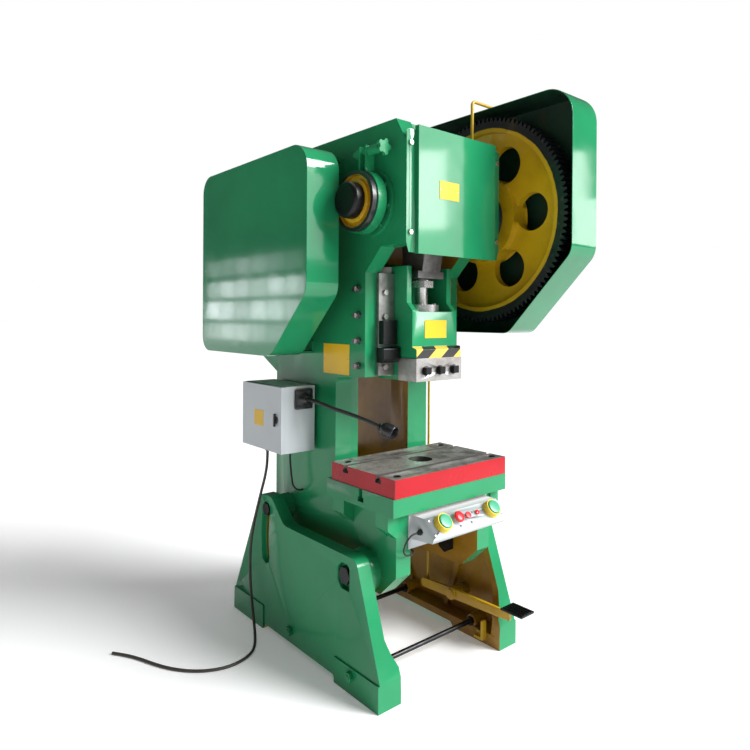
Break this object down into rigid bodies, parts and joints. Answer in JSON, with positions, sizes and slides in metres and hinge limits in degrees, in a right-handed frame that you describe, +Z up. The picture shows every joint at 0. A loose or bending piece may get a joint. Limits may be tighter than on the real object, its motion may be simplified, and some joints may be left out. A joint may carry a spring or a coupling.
{
  "type": "mechanical stamping press",
  "caption": "Open-back inclinable crank press: two cast legs, tilting C-shaped body, bolster plate, guided ram, spur gear drive in open-sided guards, foot pedal and two-hand panel.",
  "frame": {"origin": "on the floor, under the centre of the machine's outline without its power cord", "axes": "+X to the right of an operator who faces the machine, +Y from the operator to the back, +Z up"},
  "size_m": [1.3295, 1.313, 2.097],
  "materials": {
    "green_enamel": "glossy machine enamel",
    "dark_green_enamel": "glossy machine enamel",
    "ochre_paint": "satin paint",
    "gear_cast": "painted web, greased teeth",
    "bolster_steel": "ground top, red painted sides",
    "machined_steel": "machined",
    "forged_steel": "forged",
    "black_steel": "black oxide",
    "bronze": "machined bronze",
    "grey_paint": "light grey powder coat",
    "grey_motor": "enamel",
    "rubber_belt": "matte",
    "cable_rubber": "matte",
    "black_plastic": "gloss",
    "button_green": "gloss",
    "button_red": "gloss",
    "lamp_red": "translucent gloss",
    "zinc_steel": "zinc plated"
  },
  "bodies": {
    "stand": {"left_leg": "green_enamel", "right_leg": "green_enamel", "pedal_stop": "ochre_paint", "tie_rods": "black_steel", "pivot_pins": "black_steel", "pedal_shaft": "ochre_paint"},
    "press": {"frame": "green_enamel", "bolster": "bolster_steel", "bolster_bolts": "black_steel", "bearing_bushes": "bronze", "bearing_flange": "green_enamel", "brake_band": "green_enamel", "brake_adjuster": "green_enamel", "v_belts": "rubber_belt", "motor_body": "grey_motor", "motor_plate": "green_enamel", "belt_guard": "green_enamel", "gear_guard": "green_enamel", "guard_brackets": "green_enamel", "guard_stay": "ochre_paint", "front_cover": "green_enamel", "hex_screws": "zinc_steel", "left_gib": "machined_steel", "right_gib": "machined_steel", "gib_screws": "zinc_steel", "stop_blocks": "black_steel", "cabinet_box": "grey_paint", "lamp_base": "black_plastic", "lamp_arm": "black_steel", "lamp_head": "black_plastic", "control_box": "grey_paint", "signal_lamp": "lamp_red", "cable_glands": "black_plastic", "machine_cables": "cable_rubber", "power_cord": "cable_rubber", "lock_bolts": "black_steel", "trip_guides": "green_enamel"},
    "crank": {"crankshaft": "forged_steel", "shaft_caps": "black_steel", "brake_drum": "black_steel"},
    "slide": {"ram": "green_enamel", "clamp_block": "machined_steel", "clamp_bolts": "black_steel", "connecting_rod": "ochre_paint", "adjusting_screw": "machined_steel", "ball_cap": "machined_steel"},
    "gear": {"bull_gear": "gear_cast", "clutch_housing": "machined_steel"},
    "countershaft": {"pinion_shaft": "forged_steel", "flywheel": "ochre_paint"},
    "motor_rotor": {"motor_pulley": "forged_steel"},
    "pedal": {"pedal_lever": "ochre_paint", "pedal_plate": "black_steel"},
    "trip": {"trip_rod": "ochre_paint"},
    "left_palm": {"left_palm_button": "button_green"},
    "right_palm": {"right_palm_button": "button_green"},
    "stop": {"stop_button": "button_red"},
    "set": {"set_button": "button_red"},
    "door": {"cabinet_door": "grey_paint"},
    "lock": {"door_lock": "black_plastic"}
  },
  "joints": [
    {"name": "tilt", "type": "hinge", "parent": "stand", "child": "press", "pos_m": [0, -0.1935, 0.378], "axis": [-1, 0, 0], "range_deg": [0, 20], "deforming": ["power_cord"]},
    {"name": "crank_turn", "type": "hinge", "parent": "press", "child": "crank", "pos_m": [0, -0.2115, 1.65], "axis": [1, 0, 0], "range_deg": [0, 180]},
    {"name": "ram_slide", "type": "slide", "parent": "press", "child": "slide", "axis": [0, 0, -1], "range_m": [0, 0.08]},
    {"name": "gear_spin", "type": "hinge", "parent": "press", "child": "gear", "pos_m": [0, -0.2115, 1.65], "axis": [1, 0, 0], "continuous": true},
    {"name": "flywheel_spin", "type": "hinge", "parent": "press", "child": "countershaft", "pos_m": [0, 0.2256, 1.48], "axis": [1, 0, 0], "continuous": true},
    {"name": "motor_spin", "type": "hinge", "parent": "press", "child": "motor_rotor", "pos_m": [0, 0.5385, 1.215], "axis": [1, 0, 0], "continuous": true},
    {"name": "pedal_press", "type": "hinge", "parent": "stand", "child": "pedal", "pos_m": [0.242, -0.1515, 0.143], "axis": [1, 0, 0], "range_deg": [0, 12], "stiffness_Nm_per_rad": 20, "springref_deg": -34.38},
    {"name": "trip_slide", "type": "slide", "parent": "press", "child": "trip", "axis": [0, 0, 1], "range_m": [0, 0.035]},
    {"name": "left_palm_press", "type": "slide", "parent": "press", "child": "left_palm", "axis": [0, 0.7593, -0.6508], "range_m": [0, 0.005], "stiffness_N_per_m": 600, "springref_m": -0.01},
    {"name": "right_palm_press", "type": "slide", "parent": "press", "child": "right_palm", "axis": [0, 0.7593, -0.6508], "range_m": [0, 0.005], "stiffness_N_per_m": 600, "springref_m": -0.01},
    {"name": "stop_press", "type": "slide", "parent": "press", "child": "stop", "axis": [0, 0.7593, -0.6508], "range_m": [0, 0.005], "stiffness_N_per_m": 600, "springref_m": -0.01},
    {"name": "set_press", "type": "slide", "parent": "press", "child": "set", "axis": [0, 0.7593, -0.6508], "range_m": [0, 0.005], "stiffness_N_per_m": 600, "springref_m": -0.01},
    {"name": "door_swing", "type": "hinge", "parent": "press", "child": "door", "pos_m": [-0.384, 0.4265, 0.868], "axis": [0, 0, -1], "range_deg": [0, 115]},
    {"name": "lock_turn", "type": "hinge", "parent": "door", "child": "lock", "pos_m": [-0.398, 0.1575, 0.868], "axis": [1, 0, 0], "range_deg": [0, 90]}
  ],
  "couplings": [
    {"joint": "ram_slide", "follows": "crank_turn", "m_per_rad": 0.025465},
    {"joint": "flywheel_spin", "follows": "gear_spin", "ratio": -6.0526},
    {"joint": "motor_spin", "follows": "gear_spin", "ratio": -24.211},
    {"joint": "trip_slide", "follows": "pedal_press", "m_per_rad": 0.162}
  ]
}
